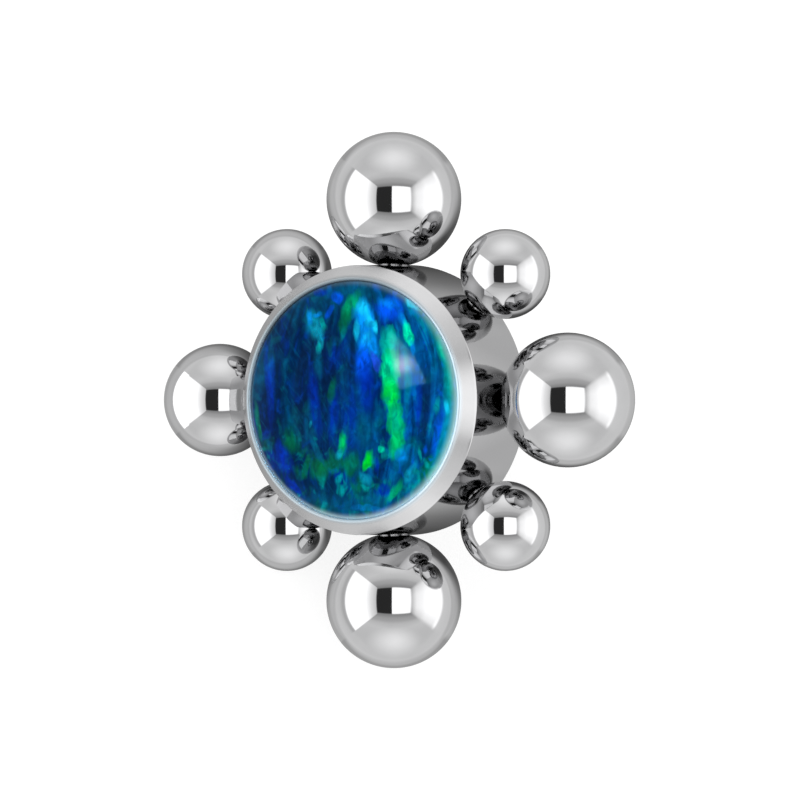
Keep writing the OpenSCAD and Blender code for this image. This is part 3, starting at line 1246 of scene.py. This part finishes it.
def make_opal(context):
    """The stone: a low dome whose edge runs in under the lip."""
    cup, setting, stone, _ = all_sizes(context)
    girdle = cup.seat_radius - stone.clearance
    edge_radius = cup.lip_radius - stone.clearance
    edge_level = cup.shoulder + setting.stone_edge
    centre = edge_level - math.sqrt(stone.dome_radius**2 - edge_radius**2)
    base = cup.seat + stone.clearance
    under_lip = cup.lip_radius + UNDER_LIP
    edge_angle = math.asin(under_lip / stone.dome_radius)
    corners = [
        (0.0, base, 0.0),
        (girdle, base, BASE_EDGE),
        (girdle, cup.shoulder - LIP_DROP, GIRDLE_EDGE),
        (under_lip, centre + stone.dome_radius * math.cos(edge_angle), 0.0),
        (0.0, centre + stone.dome_radius, 0.0),
    ]
    # The dome's own rows take the place of the last two corners
    bends = outline(corners)[:-2]
    bends[0] = Bend(0.0, base, (0, -1), (0, -1))
    start = bends[-1]
    for row in range(DOME_ROWS + 1):
        angle = edge_angle * (1 - row / DOME_ROWS)
        normal = np.array([math.sin(angle), math.cos(angle)])
        r = stone.dome_radius * normal[0]
        z = centre + stone.dome_radius * normal[1]
        if row == 0:
            way = np.array([r - start.r, z - start.z])
            way /= np.linalg.norm(way)
            bends.append(Bend(r, z, np.array([way[1], -way[0]]), normal))
        elif row == DOME_ROWS:
            bends.append(Bend(0.0, z, np.array([0.0, 1.0]), np.array([0.0, 1.0])))
        else:
            bends.append(Bend(r, z, normal, normal))
    piece = revolved("opal_dome", bends, STONE_SEGMENTS, False)
    finished(piece, opal_material(context, under_lip), "opal_cabochon")
    light_only(WINDOW_CARD, piece)


class TOP_OT_opal(bpy.types.Operator):
    """Make the opal"""

    bl_idname = "opal_top.opal"
    bl_label = "Opal"

    def execute(self, context):
        make_opal(context)
        return {"FINISHED"}


# Post


POST_SEGMENTS = 96
ROOT_ROWS = 6
HEAD_BEVEL = 0.01

# The thread: half its crest as a share of the pitch, its flank angle, over how much of the
# pitch it fades out at the neck, and the angle from which the post's edges are sharp
CREST_SHARE = 1 / 16
THREAD_ANGLE = math.radians(30)
RUN_OUT = 0.7
SHARP_ANGLE = math.radians(32)

# Shares of the height that the thread would have with sharp edges: the end of its straight
# flank and the middle of its root's rounding, both from the crest, and that rounding
FLANK_END = 5 / 8
ROOT_MIDDLE = 13 / 24
ROOT_ROUNDING = 1 / 6

# Where rows of the thread fall together: points so close are merged, and shorter edges go
MERGE_REACH = 1e-4
SHORTEST_EDGE = 1e-5


def thread_depth(phase, pitch):
    """Depth below the crest of a 60 degree thread with a rounded root, at a distance from
    the middle of its crest."""
    sharp = pitch * math.cos(THREAD_ANGLE)
    rounding = sharp * ROOT_ROUNDING
    way = np.abs((phase + pitch / 2) % pitch - pitch / 2)
    flank = (way - pitch * CREST_SHARE) / math.tan(THREAD_ANGLE)
    from_root = np.minimum(pitch / 2 - way, rounding)
    root = sharp * ROOT_MIDDLE + np.sqrt(np.maximum(rounding**2 - from_root**2, 0))
    straight_end = sharp * FLANK_END
    return np.where(flank > straight_end, root, np.clip(flank, 0, straight_end))


def post_rows(post, cup, clearance):
    """Rows of the post from its head to its tip: the level and the radius at each angle."""
    radius = post.thread_diameter / 2
    pitch = post.pitch
    turns = np.arange(POST_SEGMENTS + 1) * 2 * math.pi / POST_SEGMENTS
    tip = cup.back - post.post_length
    start = cup.back - post.neck_length
    top = cup.seat - clearance / 2
    under = cup.ledge + clearance / 2
    head = post.head_diameter / 2
    head_outline = (
        (0.0, top),
        (head - HEAD_BEVEL, top),
        (head, top - HEAD_BEVEL),
        (head, under + HEAD_BEVEL),
        (head - HEAD_BEVEL, under),
        (radius, under),
    )
    rows = [(np.full_like(turns, z), np.full_like(turns, r)) for r, z in head_outline]
    sharp = pitch * math.cos(THREAD_ANGLE)
    crest = pitch * CREST_SHARE
    flank = sharp * FLANK_END * math.tan(THREAD_ANGLE)
    phases = [-crest, crest, crest + flank / 2, crest + flank]
    for row in range(1, ROOT_ROWS):
        phases.append(crest + flank + (pitch - 2 * crest - 2 * flank) * row / ROOT_ROWS)
    phases += [pitch - crest - flank, pitch - crest - flank / 2]
    count = int(math.ceil((start - tip) / pitch)) + 2
    for turn in range(-1, count):
        for phase in phases:
            level = start - phase - turn * pitch + pitch * turns / (2 * math.pi)
            level = np.clip(level, tip, start)
            here = start + pitch * turns / (2 * math.pi) - level
            fade = np.clip((start - level) / (RUN_OUT * pitch), 0, 1)
            fade = fade * fade * (3 - 2 * fade)
            width = radius - thread_depth(here, pitch) * fade
            width = np.minimum(width, radius - post.tip_chamfer + (level - tip))
            rows.append((level, width))
    rows.append((np.full_like(turns, tip), np.zeros_like(turns)))
    return turns, rows


def make_post(context):
    """The threaded post."""
    cup, _, stone, post = all_sizes(context)
    turns, rows = post_rows(post, cup, stone.clearance)
    points = []
    for level, width in rows:
        points.extend(zip(width * np.cos(turns), width * np.sin(turns), level))
    count = len(turns)
    faces = []
    for row in range(len(rows) - 1):
        for k in range(count - 1):
            start = row * count + k
            end = start + count
            faces.append((start, end, end + 1, start + 1))
    piece = steady_object("screw_post", points, faces)
    work = bmesh.new()
    work.from_mesh(piece.data)
    bmesh.ops.remove_doubles(work, verts=work.verts, dist=MERGE_REACH * MM)
    bmesh.ops.dissolve_degenerate(work, edges=work.edges, dist=SHORTEST_EDGE * MM)
    bmesh.ops.recalc_face_normals(work, faces=work.faces)
    work.to_mesh(piece.data)
    work.free()
    piece.data.set_sharp_from_angle(angle=SHARP_ANGLE)
    material = steel_material("threaded_steel", context.scene.opal_top_setting.steel, 0.08)
    finished(piece, material, "threaded_post")


class TOP_OT_post(bpy.types.Operator):
    """Make the threaded post"""

    bl_idname = "opal_top.post"
    bl_label = "Threaded post"

    def execute(self, context):
        make_post(context)
        return {"FINISHED"}


# Panel and add-on


OPERATORS = (TOP_OT_stage, TOP_OT_cup, TOP_OT_balls, TOP_OT_opal, TOP_OT_post)


class TOP_PT_panel(bpy.types.Panel):
    """The steps that build the top, and its sizes"""

    bl_idname = "TOP_PT_panel"
    bl_label = "Opal Cluster Top"
    bl_space_type = "VIEW_3D"
    bl_region_type = "UI"
    bl_category = "Jewellery"

    def draw(self, context):
        layout = self.layout
        for step in OPERATORS:
            layout.operator(step.bl_idname)
        for group_name in GROUPS:
            group = getattr(context.scene, group_name)
            for name in group.bl_rna.properties.keys():
                if name not in ("rna_type", "name"):
                    layout.prop(group, name)


GROUPS = {
    "opal_top_setting": SettingSizes,
    "opal_top_stone": OpalSizes,
    "opal_top_post": PostSizes,
}
CLASSES = tuple(GROUPS.values()) + OPERATORS + (TOP_PT_panel,)


def register():
    for made in CLASSES:
        bpy.utils.register_class(made)
    for name, group in GROUPS.items():
        setattr(bpy.types.Scene, name, PointerProperty(type=group))


def unregister():
    for name in GROUPS:
        delattr(bpy.types.Scene, name)
    for made in reversed(CLASSES):
        bpy.utils.unregister_class(made)


def main():
    register()
    bpy.ops.opal_top.stage()
    bpy.ops.opal_top.cup()
    bpy.ops.opal_top.balls()
    bpy.ops.opal_top.opal()
    bpy.ops.opal_top.post()


if __name__ == "__main__":
    main()
